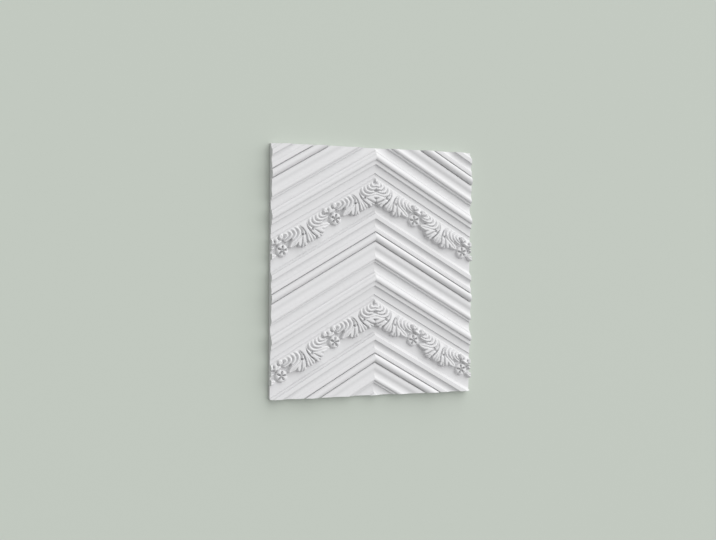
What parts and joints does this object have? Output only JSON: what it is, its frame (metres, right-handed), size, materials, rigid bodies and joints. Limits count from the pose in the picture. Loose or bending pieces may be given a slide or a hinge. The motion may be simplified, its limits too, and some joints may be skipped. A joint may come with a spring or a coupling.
{
  "type": "3d wall panel tile",
  "caption": "White moulded 3D wall panel tile with raised chevron mouldings that meet on a centre mitre and acanthus leaf garlands along the flat friezes.",
  "frame": {"origin": "centre of the flat back face, which lies on the floor", "axes": "+Z out of the back towards the decorated face, +Y up the panel along the mitre towards the points of the chevrons, +X across the panel"},
  "size_m": [0.455, 0.52, 0.025],
  "materials": {
    "primed_foam": "matte white primer on moulded rigid foam"
  },
  "bodies": {
    "root": {"wall_panel_tile": "primed_foam"}
  },
  "joints": []
}
